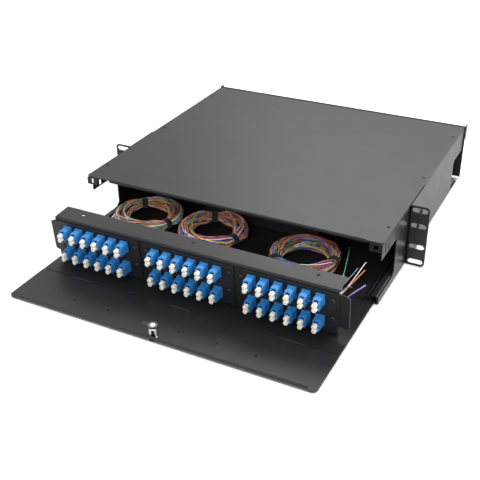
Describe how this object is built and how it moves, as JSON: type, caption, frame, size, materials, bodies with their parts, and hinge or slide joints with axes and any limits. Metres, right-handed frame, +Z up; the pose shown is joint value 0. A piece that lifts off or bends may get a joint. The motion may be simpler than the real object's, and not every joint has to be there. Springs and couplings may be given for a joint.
{
  "type": "fiber termination box",
  "caption": "Rack-mount steel fiber termination box with a sliding drawer, leaning adapter panel, hinged lockable front door and clip-on rack ears.",
  "frame": {"origin": "on the underside, at the centre of the case's width, in the plane of the rack ears' front faces", "axes": "+X to the right seen from the front, +Y to the rear, +Z up"},
  "size_m": [0.4826, 0.5938, 0.0889],
  "materials": {
    "powder_coat": "satin black powder coat, fine texture",
    "zinc_steel": "bright zinc-plated steel",
    "chrome": "polished nickel or chrome plating",
    "dark_steel": "blackened steel",
    "blue_plastic": "moulded blue plastic, semi-gloss",
    "cream_plastic": "moulded off-white plastic",
    "black_plastic": "moulded black plastic",
    "rubber": "black moulded rubber",
    "fibre_jacket": "tight-buffered fibre jackets, mixed colours in the bundle"
  },
  "bodies": {
    "chassis": {"base_shell": "powder_coat", "top_cover": "powder_coat", "rear_panel": "powder_coat", "rear_grommet_left": "rubber", "rear_grommet_right": "rubber", "lock_strike": "zinc_steel", "cover_screw_right_front": "dark_steel", "cover_screw_right_middle": "dark_steel", "cover_screw_right_rear": "dark_steel", "rack_ear_right": "powder_coat", "ear_screw_right_1": "dark_steel", "ear_screw_right_2": "dark_steel", "guide_rail_right": "powder_coat", "cover_screw_left_front": "dark_steel", "cover_screw_left_middle": "dark_steel", "cover_screw_left_rear": "dark_steel", "rack_ear_left": "powder_coat", "ear_screw_left_1": "dark_steel", "ear_screw_left_2": "dark_steel", "guide_rail_left": "powder_coat"},
    "drawer": {"tray_floor": "powder_coat", "runner_right": "powder_coat", "runner_left": "powder_coat", "patch_panel": "powder_coat", "splice_tray": "black_plastic", "splice_cover": "black_plastic", "hinge_pin_left": "zinc_steel", "hinge_pin_middle": "zinc_steel", "hinge_pin_right": "zinc_steel", "fibre_coil_left": "fibre_jacket", "fibre_coil_middle": "fibre_jacket", "fibre_coil_right": "fibre_jacket", "adapter_plate_left": "powder_coat", "adapters_left_upper": "blue_plastic", "dust_caps_left_upper": "cream_plastic", "adapters_left_lower": "blue_plastic", "dust_caps_left_lower": "cream_plastic", "push_rivet_left_a": "black_plastic", "push_rivet_left_b": "black_plastic", "adapter_plate_middle": "powder_coat", "adapters_middle_upper": "blue_plastic", "dust_caps_middle_upper": "cream_plastic", "adapters_middle_lower": "blue_plastic", "dust_caps_middle_lower": "cream_plastic", "push_rivet_middle_a": "black_plastic", "push_rivet_middle_b": "black_plastic", "adapter_plate_right": "powder_coat", "adapters_right_upper": "blue_plastic", "dust_caps_right_upper": "cream_plastic", "adapters_right_lower": "blue_plastic", "dust_caps_right_lower": "cream_plastic", "push_rivet_right_a": "black_plastic", "push_rivet_right_b": "black_plastic"},
    "front_door": {"door_panel": "powder_coat", "lock_barrel": "chrome"},
    "lock": {"lock_plug": "chrome", "lock_cam": "dark_steel", "cam_screw": "chrome"}
  },
  "joints": [
    {"name": "drawer_slide", "type": "slide", "parent": "chassis", "child": "drawer", "axis": [0, -1, 0], "range_m": [-0.117, 0.08]},
    {"name": "door_hinge", "type": "hinge", "parent": "drawer", "child": "front_door", "pos_m": [0, -0.226, 0.0024], "axis": [-1, 0, 0], "range_deg": [0, 90]},
    {"name": "lock_turn", "type": "hinge", "parent": "front_door", "child": "lock", "pos_m": [0.002, -0.289, 0.003], "axis": [0, 0, 1], "range_deg": [0, 90]}
  ]
}
